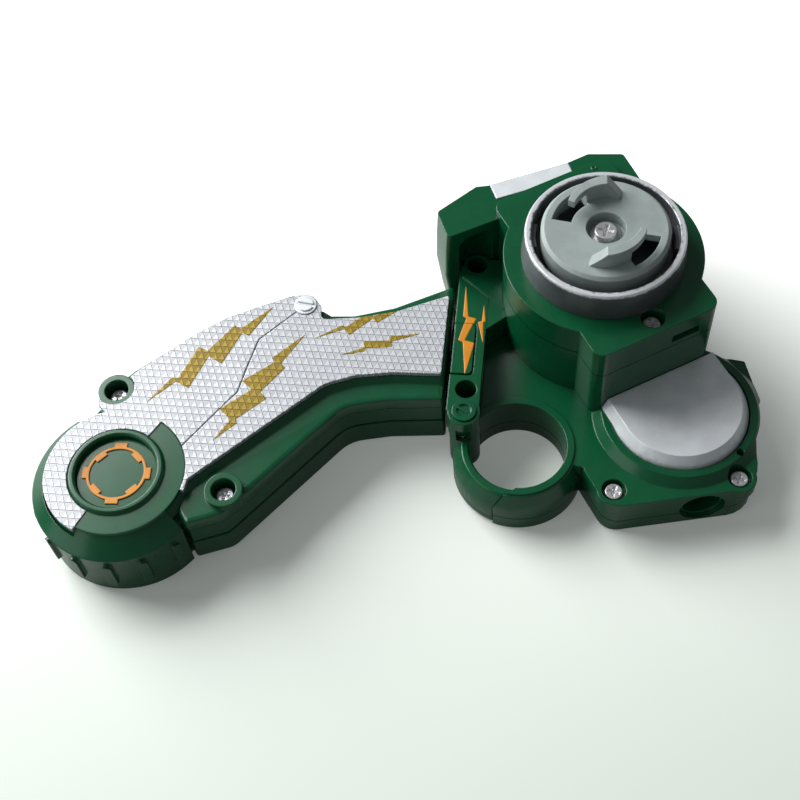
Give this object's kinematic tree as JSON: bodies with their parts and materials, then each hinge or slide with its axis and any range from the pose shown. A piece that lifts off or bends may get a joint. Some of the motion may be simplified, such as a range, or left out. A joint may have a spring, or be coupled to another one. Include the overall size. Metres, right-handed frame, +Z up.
{
  "type": "spinning top launcher",
  "caption": "Spinning top launcher with a ratcheted strip drive in a round head, a sprung finger ring gate, a thumb plate and a bent hand grip with patterned silver covers",
  "frame": {"origin": "on the turning hub's axis, at the level of the flat underside that the launcher lies on", "axes": "+Z up along the hub's axis; +X along the head's front wall, so the grip runs off to -X; -Y towards the lobe with the thumb plate"},
  "size_m": [0.1806, 0.1052, 0.0534],
  "materials": {
    "green_shell": "glossy moulded green plastic with a fine sheen",
    "silver_plate": "silver painted plastic, patterned with small raised triangles on the grip covers and satin elsewhere",
    "satin_collar": "satin dark silver paint with a scuffed bright rim",
    "grey_hub": "plain grey moulded plastic",
    "screw_steel": "bright plated steel",
    "shaft_steel": "ground steel",
    "natural_plastic": "unpainted natural plastic",
    "orange_plastic": "orange plastic or paint"
  },
  "bodies": {
    "body": {"base_bottom_shell": "green_shell", "base_top_shell": "green_shell", "thumb_plate": "silver_plate", "peg_socket": "green_shell", "base_screws": "screw_steel", "head_lower_shell": "green_shell", "head_upper_shell": "green_shell", "collar_ring": "satin_collar", "head_screws": "screw_steel", "bearing_bridge": "natural_plastic", "lower_bush": "natural_plastic", "upper_bush": "natural_plastic", "strip_channel": "natural_plastic", "rear_box": "green_shell", "rear_strip": "silver_plate", "connector_bar": "green_shell", "bar_screws": "screw_steel", "gate_pin": "green_shell", "gate_spring": "screw_steel", "latch_spring": "screw_steel", "grip_bottom_shell": "green_shell", "grip_middle_band": "green_shell", "grip_top_shell": "green_shell", "grip_tongue": "green_shell", "front_cover": "silver_plate", "rear_cover": "silver_plate", "cover_rivet": "silver_plate", "tail_drum": "green_shell", "tail_cap": "green_shell", "badge_disc": "green_shell", "badge_gear": "orange_plastic", "grip_screws": "screw_steel"},
    "hub": {"hub_disc": "grey_hub", "hub_washer": "screw_steel", "hub_screw": "screw_steel", "hub_shaft": "shaft_steel", "pawl_carrier": "natural_plastic", "pawl_springs": "screw_steel"},
    "pinion": {"drive_pinion": "natural_plastic", "ratchet_wheel": "natural_plastic"},
    "pawl_left": {"pawl_b": "orange_plastic"},
    "pawl_right": {"pawl_a": "orange_plastic"},
    "latch": {"latch_button": "green_shell"},
    "gate": {"gate_upper_half": "green_shell", "gate_lower_half": "green_shell"}
  },
  "joints": [
    {"name": "hub_spin", "type": "hinge", "parent": "body", "child": "hub", "pos_m": [0, 0, 0.0424], "axis": [0, 0, 1], "continuous": true},
    {"name": "pinion_spin", "type": "hinge", "parent": "body", "child": "pinion", "pos_m": [0, 0, 0.0306], "axis": [0, 0, 1], "continuous": true},
    {"name": "pawl_right_lift", "type": "hinge", "parent": "hub", "child": "pawl_right", "pos_m": [0.009, 0, 0.0285], "axis": [0, 0, -1], "range_deg": [0, 12], "stiffness_Nm_per_rad": 0.0005, "springref_deg": -5.73},
    {"name": "pawl_left_lift", "type": "hinge", "parent": "hub", "child": "pawl_left", "pos_m": [-0.009, 0, 0.0285], "axis": [0, 0, -1], "range_deg": [0, 12], "stiffness_Nm_per_rad": 0.0005, "springref_deg": -5.73},
    {"name": "latch_press", "type": "slide", "parent": "body", "child": "latch", "axis": [0, 0, -1], "range_m": [0, 0.002], "stiffness_N_per_m": 400, "springref_m": -0.001, "deforming": ["latch_spring"]},
    {"name": "gate_swing", "type": "hinge", "parent": "body", "child": "gate", "pos_m": [-0.04768, -0.01574, 0.006], "axis": [0, 0, 1], "range_deg": [0, 35], "stiffness_Nm_per_rad": 0.006, "springref_deg": -20.05}
  ],
  "couplings": [
    {"joint": "pinion_spin", "follows": "hub_spin", "ratio": 1}
  ]
}
